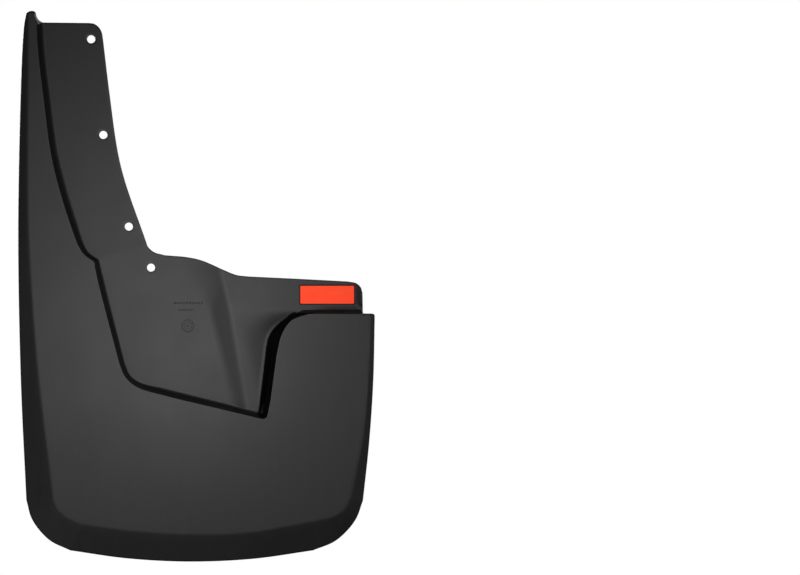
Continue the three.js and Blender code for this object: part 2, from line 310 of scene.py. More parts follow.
def smooth_line(points, fine=24):
    """A fine polyline along the centripetal Catmull-Rom curve through the points."""
    knots = np.array(points, float)
    line = np.vstack([2 * knots[0] - knots[1], knots, 2 * knots[-1] - knots[-2]])
    gaps = np.sqrt(np.linalg.norm(np.diff(line, axis=0), axis=1))
    t = np.linspace(0, 1, fine, endpoint=False)[:, None]
    pieces = []
    for i in range(len(knots) - 1):
        p0, p1, p2, p3 = line[i : i + 4]
        g0, g1, g2 = gaps[i : i + 3]
        leave = g1 * ((p1 - p0) / g0 - (p2 - p0) / (g0 + g1) + (p2 - p1) / g1)
        arrive = g1 * ((p2 - p1) / g1 - (p3 - p1) / (g1 + g2) + (p3 - p2) / g2)
        ease = t * t * (3 - 2 * t)
        pieces.append(p1 + (p2 - p1) * ease + leave * t * (1 - t) ** 2 - arrive * t * t * (1 - t))
    return np.vstack([*pieces, knots[-1:]])


def travel(line):
    """The distance run along the line at each of its points."""
    steps = np.linalg.norm(np.diff(line, axis=0), axis=1)
    return np.concatenate([[0], np.cumsum(steps)])


def evenly(line, count):
    """The line cut into count even pieces."""
    run = travel(line)
    at = np.linspace(0, run[-1], count + 1)
    return np.column_stack([np.interp(at, run, line[:, 0]), np.interp(at, run, line[:, 1])])


def stepped(points, step, fewest=2):
    """The smooth curve through the points, in even pieces of about step."""
    line = smooth_line(points)
    return evenly(line, max(fewest, round(travel(line)[-1] / step)))


def unit(vectors):
    return vectors / np.linalg.norm(vectors, axis=-1, keepdims=True)


def right_of(loop):
    """The unit vector to the right of travel at each point of a closed loop, which is outwards on an
    anticlockwise one."""
    ahead = np.roll(loop, -1, axis=0) - np.roll(loop, 1, axis=0)
    return unit(np.column_stack([ahead[:, 1], -ahead[:, 0]]))


def inside(points, loop):
    """Which points lie inside the closed loop."""
    x, z = points[:, :1], points[:, 1:]
    x0, z0 = loop[:, 0], loop[:, 1]
    x1, z1 = np.roll(x0, -1), np.roll(z0, -1)
    spans = (z0 > z) != (z1 > z)
    rise = np.where(z1 == z0, 1.0, z1 - z0)
    crossing = x0 + (z - z0) * (x1 - x0) / rise
    return (np.sum(spans & (x < crossing), axis=1) % 2).astype(bool)


def distance(points, line):
    """How far each point lies from the polyline."""
    a, b = line[:-1], line[1:]
    along = b - a
    rel = points[:, None, :] - a
    share = np.clip(np.sum(rel * along, axis=2) / np.sum(along * along, axis=1), 0, 1)
    return np.linalg.norm(rel - share[:, :, None] * along, axis=2).min(axis=1)


def closed(loop):
    return np.vstack([loop, loop[:1]])


# ---------------------------------------------------------------- heights


def smooth_min(a, b, rounding):
    near = np.maximum(rounding - np.abs(a - b), 0) / rounding
    return np.minimum(a, b) - near * near * rounding / 4


def smooth_max(a, b, rounding):
    return -smooth_min(-a, -b, rounding)


def smoothstep(t):
    t = np.clip(t, 0, 1)
    return t * t * (3 - 2 * t)


def eased_ramp(u, width, toe, heel):
    """From 0 at u = 0 to 1 at u = width, straight but for a rounded toe and heel of those widths."""
    u = np.clip(u, 0, width)
    slope = 1 / (width - toe / 2 - heel / 2)
    start = np.where(u < toe, u * u / (2 * np.maximum(toe, 1e-9)), u - toe / 2)
    left = width - u
    return np.where(left < heel, 1 - slope * left * left / (2 * np.maximum(heel, 1e-9)), slope * start)


def field_front(x, z):
    """The front of the shield, which is crowned around its middle."""
    sideways = (x - CROWN_CENTRE[0]) / CROWN_REACH[0]
    upwards = (z - CROWN_CENTRE[1]) / CROWN_REACH[1]
    return SHIELD_Y - CROWN * np.exp(-sideways * sideways - upwards * upwards)


ACROSS_FOLD = unit(np.array([FOLD_TOP[1] - FOLD_BOTTOM[1], FOLD_BOTTOM[0] - FOLD_TOP[0]]))
FOLD_OFFSET = ACROSS_FOLD @ FOLD_TOP
FAN_LINE = smooth_line(FAN_EDGE)
BEYOND_FAN_LOOP = np.vstack([FAN_LINE, BEYOND_FAN])
TRENCH = next(stretch for stretch in SHIELD_STRETCHES if stretch["name"] == "trench")
TRENCH_FOOT = smooth_line(TRENCH["foot"])
BEYOND_FOOT_LOOP = np.vstack([TRENCH_FOOT, BEYOND_FAN])
BEYOND_CREST_LOOP = np.vstack([smooth_line(TRENCH["crest"]), BEYOND_FAN])


def fan_height(x, z, gap):
    """How far ramp, facet, fan, lip and arm stand out from the leaf's plane. gap is how far inside the fan's
    edge the place lies."""
    u = ACROSS_FOLD[0] * x + ACROSS_FOLD[1] * z - FOLD_OFFSET
    down = np.clip((FAN_TOP_Z - z) / (FAN_TOP_Z - FAN_TIP_Z), 0, 1)
    up = smoothstep((z - ARM_BLEND[0]) / (ARM_BLEND[1] - ARM_BLEND[0]))
    flat = -ARM_Y - FAN_FALL * (FAN_TOP_Z - FAN_TIP_Z) * down
    facet_end = flat / RAMP_SLOPE + FACET_AT_TOP + (FACET_AT_TIP - FACET_AT_TOP) * down
    past_lip = smooth_max(0.0, LIP_WIDTH - gap, LIP_EASE)
    past_facet = smooth_max(0.0, u - facet_end - past_lip, FAN_EASE)
    rolled = FAN_ROLL / 2 * smoothstep(down / FAN_ROLL_START) * past_facet**2
    toe = TOE_ROUNDING + TOE_SPREAD_ABOVE * up + TOE_SPREAD_BELOW * down
    risen = smooth_max(0.0, smooth_min(RAMP_SLOPE * u, flat - rolled, FOLD_ROUNDING), toe)
    return risen - arm_roll(x, z)


def arm_roll(x, z):
    """How far the arm's end and the strip under the tape roll back."""
    above_corner = smoothstep((z - ARM_CORNER[1]) / ARM_END_FADE)
    past_tape = above_corner * smooth_max(0.0, x - ARM_END_X, ARM_END_EASE)
    start, end = ARM_UNDER_START
    below = np.minimum(smooth_max(0.0, ARM_UNDER_Z - z, ARM_UNDER_EASE), ARM_UNDER_REACH)
    below_tape = smoothstep((x - start) / (end - start)) * below
    return ARM_END_SLOPE * past_tape + ARM_UNDER_SLOPE * below_tape


def bend(points):
    """The faint ridge across the top of the leaf."""
    gap = distance(points, np.vstack([BEND_START, BEND_END]))
    return BEND_LIFT * np.exp(-((gap / BEND_SPREAD) ** 2))


def trench_floor(x, z):
    """The trench starts level with the arm and deepens to behind the leaf's plane."""
    run = np.hypot(np.minimum(x - TRENCH_START[0], 0), np.minimum(z - TRENCH_START[1], 0))
    return ARM_Y + (TRENCH_DEPTH - ARM_Y) * smoothstep(run / TRENCH_OPENING)


def leaf_front(x, z, wall_shift=0.0):
    """The front of flange, leaf, fan, arm and trench. wall_shift moves the fan's wall inboard."""
    points = np.column_stack([x, z])
    past_edge = distance(points, FAN_LINE)
    past_edge = np.where(inside(points, BEYOND_FAN_LOOP), past_edge, -past_edge)
    before_foot = distance(points, TRENCH_FOOT)
    before_foot = np.where(inside(points, BEYOND_FOOT_LOOP), -before_foot, before_foot)
    width = np.maximum(past_edge + before_foot, TRENCH_LEAST)
    share = eased_ramp(before_foot + wall_shift, width, FAN_WALL_ROUNDING, FAN_WALL_ROUNDING)
    share = np.where(past_edge <= wall_shift, 1.0, share)
    floor = trench_floor(x, z)
    return floor + (-fan_height(x, z, wall_shift - past_edge) - bend(points) - floor) * share


def leaf_back(x, z):
    return leaf_front(x, z, DRAFT_INSET) + WALL


def field_back(x, z):
    return field_front(x, z) + WALL


# ---------------------------------------------------------------- shells of corners and faces


def corners_at(points, heights):
    return np.column_stack([points[:, 0], heights, points[:, 1]])


def lift(points, height):
    """(x, z) points as corners at height(x, z)."""
    return corners_at(points, height(points[:, 0], points[:, 1]))


def flat(corners):
    return corners[:, [0, 2]]


def lattice(rings):
    """Quads between successive closed rings of corners."""
    rows, count = len(rings), len(rings[0])
    corner = np.arange(rows * count).reshape(rows, count)
    across = np.hstack([corner, corner[:, :1]])
    quads = np.stack([across[:-1, :-1], across[:-1, 1:], across[1:, 1:], across[1:, :-1]], axis=2)
    return np.vstack(rings), quads.reshape(-1, 4)


def grid_points(outline, holes, step, margin, avoid=None):
    """A triangular grid inside the outline, clear of its edge, of the holes and of the points to avoid."""
    lo, hi = outline.min(axis=0), outline.max(axis=0)
    row_step = step * math.sqrt(3) / 2
    rows = []
    for i, z in enumerate(np.arange(lo[1] + row_step / 2, hi[1], row_step)):
        x = np.arange(lo[0] + step / 2 * (i % 2), hi[0], step)
        rows.append(np.column_stack([x, np.full(len(x), z)]))
    points = np.vstack(rows)
    points = points[inside(points, outline)]
    points = points[distance(points, closed(outline)) > margin]
    for hole in holes:
        centre = hole.mean(axis=0)
        reach = np.linalg.norm(hole - centre, axis=1).max()
        points = points[np.linalg.norm(points - centre, axis=1) > reach + margin]
    if avoid is not None:
        near = np.linalg.norm(points[:, None, :] - avoid[None, :, :], axis=2).min(axis=1)
        points = points[near > CLEAR_OF_LINES * step]
    return points


def fill(outline, holes, inner, height):
    """Triangles over the area inside the outline and outside the holes, whose loops are corners; the inner
    points get their height from the function."""
    loops = [outline, *holes]
    # The triangulation rounds its points to single precision, so they are rounded before it too.
    points = np.vstack([flat(loop) for loop in loops] + [inner]).astype(np.float32).astype(float)
    bounds = []
    edges = []
    start = 0
    for loop in loops:
        edges += [(start + i, start + (i + 1) % len(loop)) for i in range(len(loop))]
        bounds.append(points[start : start + len(loop)])
        start += len(loop)
    made = delaunay_2d_cdt([Vector(p) for p in points], edges, [], 0, 1e-7)
    if len(made[0]) != len(points):
        raise ValueError(f"the outline crosses itself: {len(made[0])} points from {len(points)}")
    source = np.array([ids[0] for ids in made[3]])
    triangles = source[np.array(made[2])]
    centres = points[triangles].mean(axis=1)
    keep = inside(centres, bounds[0])
    for bound in bounds[1:]:
        keep &= ~inside(centres, bound)
    return np.vstack([*loops, lift(inner, height)]), triangles[keep]


def rim(outline, front, back, slope=0.0):
    """The rounded edge from the front loop to the back one, bulging out to the outline. slope is how the
    front falls away where it runs into the edge."""

    def handle(loop, rise):
        out = BEZIER_REACH * (outline - flat(loop))
        run = np.linalg.norm(out, axis=1)
        return loop + np.column_stack([out[:, 0], rise * run, out[:, 1]])

    start, end = handle(front, slope), handle(back, 0.0)
    rings = []
    for t in np.linspace(0, 1, RIM_STEPS + 1):
        s = 1 - t
        rings.append(s**3 * front + 3 * s * s * t * start + 3 * s * t * t * end + t**3 * back)
    return lattice(rings)


def make_piece(name, patches):
    """One closed mesh from patches that meet corner to corner."""
    shell = bmesh.new()
    for corners, faces in patches:
        made = [shell.verts.new(corner) for corner in corners * MM]
        for face in faces:
            shell.faces.new([made[i] for i in face])
    bmesh.ops.remove_doubles(shell, verts=shell.verts, dist=WELD)
    bmesh.ops.recalc_face_normals(shell, faces=shell.faces)
    open_edges = sum(1 for edge in shell.edges if not edge.is_manifold)
    if open_edges:
        raise ValueError(f"{name} has {open_edges} open edges")
    for face in shell.faces:
        face.smooth = True
    shell.normal_update()
    convex_share = shell.verts.layers.float.new("convex_edge")
    for corner in shell.verts:
        sharpest = max(edge.calc_face_angle_signed(0.0) for edge in corner.link_edges)
        corner[convex_share] = min(max(sharpest / CONVEX_FULL_ANGLE, 0.0), 1.0)
    mesh = bpy.data.meshes.new(name)
    shell.to_mesh(mesh)
    shell.free()
    piece = bpy.data.objects.new(name, mesh)
    bpy.context.scene.collection.objects.link(piece)
    return piece


# ---------------------------------------------------------------- the moulding


def edge_heights(kind, widths, shares):
    """Where the outer skin lies along a stretch of free edge."""
    if kind == "horn":
        return (SHIELD_Y + EDGE_DROP) * smoothstep(shares / HORN_LIFT)
    if kind == "riser end":
        corner = leaf_front(*ARM_CORNER)[0]
        return SHIELD_Y + EDGE_DROP + (corner - SHIELD_Y - EDGE_DROP) * shares
    return SHIELD_Y + np.maximum(EDGE_DROP, CHAMFER_RATIO * widths)


def shield_columns():
    """Foot, crest, foot height and reach of the riser's foot all round the shield. The first `free` columns
    lie on the outer edge."""
    feet, crests, heights, reaches = [], [], [], []
    free = 1
    for stretch in SHIELD_STRETCHES:
        foot = stepped(stretch["foot"], COLUMN_STEP)
        pieces = len(foot) - 1
        crest = evenly(smooth_line(stretch["crest"]), pieces)
        foot, crest = foot[:-1], crest[:-1]
        if "edge" in stretch:
            widths = np.linalg.norm(crest - foot, axis=1)
            heights.append(edge_heights(stretch["edge"], widths, np.arange(pieces) / pieces))
            free += pieces
        else:
            heights.append(leaf_front(foot[:, 0], foot[:, 1]))
        feet.append(foot)
        crests.append(crest)
        reaches.append(np.full(pieces, RISER_FOOT_REACH if stretch.get("open foot") else 0.0))
    reach = eased_along(np.concatenate(reaches), REACH_EASE)
    return np.vstack(feet), np.vstack(crests), np.concatenate(heights), reach, free


def eased_along(values, spread):
    """Values round a closed loop, averaged over spread neighbours on either side."""
    return sum(np.roll(values, shift) for shift in range(-spread, spread + 1)) / (2 * spread + 1)


def wall_rings(foot, crest, start, heights, reach, free, leaf, field, rings, landing):
    """Rings of corners from the start points, or from the riser's landing on the leaf, up the wall to the
    crest and just past it."""
    leaning = unit(crest - foot)
    width = np.linalg.norm(crest - foot, axis=1)
    riser = np.arange(len(foot)) >= free
    reach = np.where(riser, reach, 0.0)
    first = np.where(riser, -reach - landing, np.maximum(0, np.sum((start - foot) * leaning, axis=1)))
    start = np.where(riser[:, None], foot + first[:, None] * leaning, start)
    share = TRENCH_FOOT_SHARE + (RISER_FOOT_SHARE - TRENCH_FOOT_SHARE) * reach / RISER_FOOT_REACH
    toe = np.where(riser, share * (width + reach), 0.0)
    heel = np.where(riser, RISER_CREST, np.minimum(CHAMFER_CREST, CHAMFER_CREST_SHARE * width))
    foot_rings, slope_rings, crest_rings = rings
    foot_start = np.where(riser, -reach, first + CHAMFER_FOOT[0] * (width - first))
    foot_end = np.where(riser, toe - reach, first + CHAMFER_FOOT[1] * (width - first))
    stations = [first]
    stations += [foot_start + (foot_end - foot_start) * i / foot_rings for i in range(foot_rings)]
    stations += [foot_end + (width - heel - foot_end) * i / slope_rings for i in range(slope_rings)]
    stations += [width - heel + heel * i / crest_rings for i in range(crest_rings + 1)]
    stations += [width + landing]
    made = []
    for u in stations:
        share = ((u - first) / (width - first))[:, None]
        place = start + (crest - start) * share
        rise = eased_ramp(u + reach, width + reach, toe, heel)
        bottom = np.where(riser, leaf(place[:, 0], place[:, 1]), heights)
        top = field(place[:, 0], place[:, 1])
        made.append(corners_at(place, bottom + (top - bottom) * rise))
    return made


def hole_loops(height, radius):
    """A round loop of corners at each screw hole."""
    turns = np.arange(HOLE_SIDES) * math.tau / HOLE_SIDES
    circle = radius * np.column_stack([np.cos(turns), np.sin(turns)])
    return [lift(circle + centre, height) for centre in SCREW_HOLES]


def fan_rings(wall_shift, step):
    """Points in lines along the fan's edge, close enough together to carry its lip and its wall."""
    line = stepped(FAN_EDGE[:-1], step)
    ahead = np.gradient(line, axis=0)
    to_trench = unit(np.column_stack([-ahead[:, 1], ahead[:, 0]]))
    return np.vstack([line + to_trench * (offset + wall_shift) for offset in FAN_LINES])


def skin(wall, free, free_edge, leaf, field, grids, wall_shift):
    """The hole loops of one whole skin of the moulding, and its patches: wall, field and leaf."""
    leaf_step, field_step = grids
    top = wall[-1]
    field_patch = fill(top, [], grid_points(flat(top), [], field_step, field_step / 2), field)
    outline = np.vstack([wall[0][free - 1 :], wall[0][:1], free_edge])
    holes = hole_loops(leaf, SCREW_HOLE_RADIUS + EDGE_INSET / 2)
    plan_holes = [flat(hole) for hole in holes]
    near_wall = fan_rings(wall_shift, LINE_STEP * leaf_step)
    near_wall = near_wall[inside(near_wall, flat(outline))]
    near_wall = near_wall[distance(near_wall, closed(flat(outline))) > CLEAR_OF_EDGE]
    grid = grid_points(flat(outline), plan_holes, leaf_step, leaf_step / 2, near_wall)
    leaf_patch = fill(outline, holes, np.vstack([near_wall, grid]), leaf)
    return holes, [lattice(wall), field_patch, leaf_patch]


def mark_walls(piece):
    """Gives each corner of the moulding its share of ungrained wall and painted shade, and the trench's
    faces their material of painted shade.
    """
    vertices = piece.data.vertices
    place, normal = np.empty(3 * len(vertices)), np.empty(3 * len(vertices))
    vertices.foreach_get("co", place)
    vertices.foreach_get("normal", normal)
    plan = place.reshape(-1, 3)[:, [0, 2]] / MM
    facing = normal.reshape(-1, 3)[:, 1]
    steep_ungrained_and_shade = np.clip((STEEP_START - np.abs(facing)) / (STEEP_START - STEEP_FULL), 0, 1)
    trench = inside(plan, BEYOND_FAN_LOOP) & ~inside(plan, BEYOND_CREST_LOOP)
    trench &= (plan[:, 1] > TRENCH_SPAN_Z[0]) & (plan[:, 1] < TRENCH_SPAN_Z[1]) & (facing < FRONT_FACING)
    wall = piece.data.attributes.new("ungrained_wall_and_shade", "FLOAT", "POINT")
    wall.data.foreach_set("value", np.where(trench, 1.0, steep_ungrained_and_shade).astype(np.float32))
    for face in piece.data.polygons:
        face.material_index = int(trench[list(face.vertices)].all())


def moulding_patches():
    """Outer skin, inner skin, the rounded edge that joins them and the bores of the holes."""
    foot, crest, heights, reach, free = shield_columns()
    free_edge = np.vstack([stepped(points, COLUMN_STEP)[:-1] for points in LEAF_FREE_EDGE])[1:]

    outline = np.vstack([foot[:free], free_edge[::-1]])
    outwards = right_of(outline)
    leaning = unit(crest - foot)

    # Outer skin: its edge is set in from the outline all along.
    start = foot.copy()
    start[:free] -= EDGE_INSET * outwards[:free]
    front_wall = wall_rings(
        foot, crest, start, heights, reach, free, leaf_front, field_front, FRONT_RINGS, LANDING,
    )
    front_edge = lift(free_edge - EDGE_INSET * outwards[free:][::-1], leaf_front)
    front_holes, front_patches = skin(
        front_wall, free, front_edge, leaf_front, field_front, (LEAF_GRID, FIELD_GRID), 0.0,
    )

    # Inner skin: the same walls, stepped in and back by the wall's thickness.
    inner_foot = foot + DRAFT_INSET * leaning
    inner_crest = crest + DRAFT_INSET * leaning
    inner_start = inner_foot.copy()
    square_on = np.clip(-np.sum(leaning[:free] * outwards[:free], axis=1), 0, 1)
    inner_start[:free] -= EDGE_INSET * (1 - square_on)[:, None] * outwards[:free]
    back_wall = wall_rings(
        inner_foot, inner_crest, inner_start, heights + WALL, reach, free, leaf_back, field_back,
        BACK_RINGS, INNER_LANDING,
    )
    back_edge = lift(free_edge - EDGE_INSET * outwards[free:][::-1], leaf_back)
    back_holes, back_patches = skin(
        back_wall, free, back_edge, leaf_back, field_back, (BACK_GRID, BACK_FIELD_GRID), DRAFT_INSET,
    )

    front_loop = np.vstack([front_wall[0][:free], front_edge[::-1]])
    back_loop = np.vstack([back_wall[0][:free], back_edge[::-1]])
    slope = np.where(np.arange(len(outline)) < free, CHAMFER_RATIO, 0.0)
    patches = [*front_patches, *back_patches, rim(outline, front_loop, back_loop, slope)]
    bores = hole_loops(leaf_front, SCREW_HOLE_RADIUS)
    for bore, near, far in zip(bores, front_holes, back_holes):
        patches.append(rim(flat(bore), near, far))
    return patches


# ---------------------------------------------------------------- tape and release film

FOAM_CORNER = 1.0
FOAM_EDGE = 0.22  # plan width of the foam's rounded cut edge
FOAM_GRID = 1.2
FOAM_DIMPLE = 0.04
FILM_CORNER = 0.8
FILM_EDGE = 0.04
FILM_GRID = 0.9
FILM_THICKNESS = 0.14
FILM_WAVE = 0.05
FILM_CURL = 0.9  # how far the loose corner has come off the foam
FILM_CURL_REACH = 9.0
FILM_LOWER_CURL = 0.25  # and the lower edge
FILM_LOWER_REACH = 2.6


def plan_box(node):
    """A node's lowest and highest (x, z), and its front and back y, in millimetres."""
    lo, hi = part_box(node)
    return np.array([lo.x, lo.z]) / MM, np.array([hi.x, hi.z]) / MM, lo.y / MM, hi.y / MM


def rounded_rectangle(lo, hi, radius, step=0.8):
    """A closed anticlockwise outline with round corners."""
    turns = np.linspace(0, math.pi / 2, 6)
    corners = []
    centres = [(hi[0] - radius, lo[1] + radius), hi - radius, (lo[0] + radius, hi[1] - radius), lo + radius]
    for i, centre in enumerate(centres):
        angle = turns + (i - 1) * math.pi / 2
        corners.append(np.asarray(centre) + radius * np.column_stack([np.cos(angle), np.sin(angle)]))
    loop = np.vstack(corners)
    sides = []
    for start, end in zip(loop, np.roll(loop, -1, axis=0)):
        pieces = max(1, round(np.linalg.norm(end - start) / step))
        sides.append(start + (end - start) * np.arange(pieces)[:, None] / pieces)
    return np.vstack(sides)


def slab_patches(outline, edge, grid, front, back):
    """A thin slab with rounded edges between two surfaces."""
    inset = outline - edge * right_of(outline)
    near, far = lift(inset, front), lift(inset, back)
    inner = grid_points(inset, [], grid, grid / 2)
    return [fill(near, [], inner, front), fill(far, [], inner, back), rim(outline, near, far)]


def foam_patches():
    lo, hi, front_y, back_y = plan_box("foam_tape")

    def front(x, z):
        return front_y + FOAM_DIMPLE * (1 + np.sin(x * 1.7 + 2 * np.sin(z * 0.9)) * np.sin(z * 1.3)) / 2

    def back(x, z):
        return np.full_like(x, back_y)

    return slab_patches(rounded_rectangle(lo, hi, FOAM_CORNER), FOAM_EDGE, FOAM_GRID, front, back)


def film_patches():
    lo, hi, _, back_y = plan_box("release_liner")

    def back(x, z):
        loose = np.clip(1 - np.hypot(x - lo[0], z - lo[1]) / FILM_CURL_REACH, 0, 1)
        lower = np.clip(1 - (z - lo[1]) / FILM_LOWER_REACH, 0, 1)
        wave = FILM_WAVE * (1 + np.sin(x * 0.37 + 0.6 * np.sin(z * 0.5)))
        return back_y - wave - FILM_CURL * loose**2 - FILM_LOWER_CURL * lower**2

    def front(x, z):
        return back(x, z) - FILM_THICKNESS

    return slab_patches(rounded_rectangle(lo, hi, FILM_CORNER), FILM_EDGE, FILM_GRID, front, back)


# ---------------------------------------------------------------- nodes and colours


def linear(hex_colour):
    """An sRGB hex colour as linear RGBA."""
    parts = [int(hex_colour[i : i + 2], 16) / 255 for i in (1, 3, 5)]
    return [c / 12.92 if c <= 0.04045 else ((c + 0.055) / 1.055) ** 2.4 for c in parts] + [1.0]


def per_metre(millimetres):
    """The scale of a pattern whose features are this far apart, on coordinates in metres."""
    return 1 / (millimetres * MM)


def add_node(tree, kind, inputs=None, **settings):
    """A new node with its settings. Each input, by name or number, gets a value or another's output."""
    made = tree.nodes.new(kind)
    for name, value in settings.items():
        setattr(made, name, value)
    for name, value in (inputs or {}).items():
        if isinstance(value, bpy.types.NodeSocket):
            tree.links.new(value, made.inputs[name])
        else:
            made.inputs[name].default_value = value
    return made


def new_material(name):
    material = bpy.data.materials.new(name)
    material.use_nodes = True
    material.node_tree.nodes.clear()
    return material, material.node_tree


# ---------------------------------------------------------------- marks left by the tool

MARK_SINK = 0.1  # how deep the marks are rooted in the moulding
PIP_ROWS = [(np.array([24.0, -10.0]), 10), (np.array([28.5, -17.0]), 5)]  # first pip, and how many
ROW_PITCH = 3.0
DIAL_CENTRE = np.array([36.8, -32.9])
DIAL_RADIUS = 5.9
DIAL_RIB = 1.1
DIAL_HEIGHT = 0.45
DIAL_PIPS = 12
PIP_CIRCLE = 3.7
LEAF_PINS = [(-75, 225), (-78, 130), (-20, 75), (25, 5), (5, -60), (60, -85), (180, 2)]
SHIELD_PINS = [
    (-103, 60), (-90, -20), (-90, -100), (-70, -180), (20, -150),
    (30, -215), (110, -170), (170, -100), (175, -195),
]


def stud_tree():
    """A Geometry Nodes tree that stands a tapered stud on every point it is given."""
    tree = bpy.data.node_groups.new("studs_on_points", "GeometryNodeTree")
    sockets = [
        ("Points", "NodeSocketGeometry"), ("Sides", "NodeSocketInt"), ("Foot Radius", "NodeSocketFloat"),
        ("Top Radius", "NodeSocketFloat"), ("Height", "NodeSocketFloat"), ("Facing", "NodeSocketFloat"),
        ("Turn", "NodeSocketFloat"), ("Stretch", "NodeSocketVector"), ("Material", "NodeSocketMaterial"),
    ]
    for name, kind in sockets:
        tree.interface.new_socket(name, in_out="INPUT", socket_type=kind)
    tree.interface.new_socket("Studs", in_out="OUTPUT", socket_type="NodeSocketGeometry")
    given = add_node(tree, "NodeGroupInput").outputs
    stud = add_node(
        tree, "GeometryNodeMeshCone",
        {
            "Vertices": given["Sides"], "Side Segments": 1, "Fill Segments": 1,
            "Radius Top": given["Top Radius"], "Radius Bottom": given["Foot Radius"],
            "Depth": given["Height"],
        },
        fill_type="NGON",
    )
    turned = add_node(tree, "ShaderNodeCombineXYZ", {"X": given["Facing"], "Y": given["Turn"]})
    stood = add_node(
        tree, "GeometryNodeInstanceOnPoints",
        {
            "Points": given["Points"], "Instance": stud.outputs["Mesh"],
            "Rotation": turned.outputs["Vector"], "Scale": given["Stretch"],
        },
    )
    real = add_node(tree, "GeometryNodeRealizeInstances", {"Geometry": stood.outputs["Instances"]})
    dressed = add_node(
        tree, "GeometryNodeSetMaterial",
        {"Geometry": real.outputs["Geometry"], "Material": given["Material"]},
    )
    add_node(tree, "NodeGroupOutput", {"Studs": dressed.outputs["Geometry"]})
    return tree


def studs(tree, corners, inputs):
    """The mesh of studs that stand on the corners (millimetres)."""
    mesh = bpy.data.meshes.new("stud_points")
    mesh.from_pydata([tuple(c) for c in corners * MM], [], [])
    holder = bpy.data.objects.new("stud_points", mesh)
    bpy.context.scene.collection.objects.link(holder)
    modifier = holder.modifiers.new("studs", "NODES")
    modifier.node_group = tree
    for item in tree.interface.items_tree:
        if item.in_out == "INPUT" and item.name in inputs:
            modifier[item.identifier] = inputs[item.name]
    graph = bpy.context.evaluated_depsgraph_get()
    made = bpy.data.meshes.new_from_object(holder.evaluated_get(graph))
    bpy.data.objects.remove(holder)
    bpy.data.meshes.remove(mesh)
    return made


def mark_corners(places, height, sink):
    """Corners on the surface of that height at the (x, z) places, sunk a little into it."""
    corners = lift(np.array(places, float), height)
    corners[:, 1] += sink
    return corners


def dial_ring():
    """A raised ring with sloping sides, as one closed strip of corners and faces."""
    turns = np.arange(60) * math.tau / 60
    circle = np.column_stack([np.cos(turns), np.sin(turns)])
    section = [(-0.5, 0), (-0.2, 1), (0.2, 1), (0.5, 0), (-0.5, 0)]
    loops = []
    for across, up in section:
        loop = lift(DIAL_CENTRE + (DIAL_RADIUS + across * DIAL_RIB) * circle, leaf_front)
        loop[:, 1] += MARK_SINK - (DIAL_HEIGHT + MARK_SINK) * up
        loops.append(loop)
    return lattice(loops)


def mould_marks():
    """Plain marks that the tool leaves: two rows of pips, a dial of pips, and the rounds of ejector pins."""
    tree = stud_tree()
    rows = []
    for first, count in PIP_ROWS:
        rows += [first + (ROW_PITCH * i, 0) for i in range(count)]
    row_pip = {"Sides": 12, "Foot Radius": 1.15 * MM, "Top Radius": 0.6 * MM, "Height": 0.6 * MM,
               "Facing": math.pi / 2, "Turn": 0.0, "Stretch": (1.0, 1.0, 1.0), "Material": TPO}
    turns = np.arange(DIAL_PIPS) * math.tau / DIAL_PIPS
    pips = DIAL_CENTRE + PIP_CIRCLE * np.column_stack([np.cos(turns), np.sin(turns)])
    dial_pip = row_pip | {"Foot Radius": 0.55 * MM, "Top Radius": 0.25 * MM}
    pointer = row_pip | {"Sides": 4, "Foot Radius": 0.9 * MM, "Top Radius": 0.45 * MM,
                         "Turn": math.radians(35), "Stretch": (1.0, 2.6, 1.0)}
    pin = row_pip | {"Sides": 32, "Foot Radius": 4.2 * MM, "Top Radius": 4.0 * MM, "Height": 0.3 * MM,
                     "Facing": -math.pi / 2}
    meshes = [
        studs(tree, mark_corners(rows, leaf_front, MARK_SINK), row_pip),
        studs(tree, mark_corners(pips, leaf_front, MARK_SINK), dial_pip),
        studs(tree, mark_corners([DIAL_CENTRE], leaf_front, MARK_SINK), pointer),
        studs(tree, mark_corners(LEAF_PINS, leaf_back, -MARK_SINK), pin),
        studs(tree, mark_corners(SHIELD_PINS, field_back, -MARK_SINK), pin),
    ]
    mesh = joined_marks(meshes)
    mesh.materials.append(TPO)
    piece = bpy.data.objects.new("mould_marks", mesh)
    bpy.context.scene.collection.objects.link(piece)
    return piece


def joined_marks(meshes):
    """The studs and the dial's ring as one mesh with one material."""
    shell = bmesh.new()
    for mesh in meshes:
        shell.from_mesh(mesh)
        bpy.data.meshes.remove(mesh)
    corners, faces = dial_ring()
    made = [shell.verts.new(corner) for corner in corners * MM]
    for face in faces:
        shell.faces.new([made[i] for i in face])
    bmesh.ops.remove_doubles(shell, verts=made, dist=WELD)
    bmesh.ops.recalc_face_normals(shell, faces=shell.faces)
    for face in shell.faces:
        face.material_index = 0
    joined = bpy.data.meshes.new("mould_marks")
    shell.to_mesh(joined)
    shell.free()
    return joined


# ---------------------------------------------------------------- materials

FLOW_LEAN = math.radians(12)  # the melt ran down the flange and shield at this lean
SHEEN_ROUGHNESS = 0.55
FILM_PAINTED_GLOW = 0.24  # the film is painted with a faint glow, which makes it brighter than the light on it allows
FACTOR, MIX_FROM, MIX_TO, MIXED = 0, 6, 7, 2  # a colour Mix node's sockets


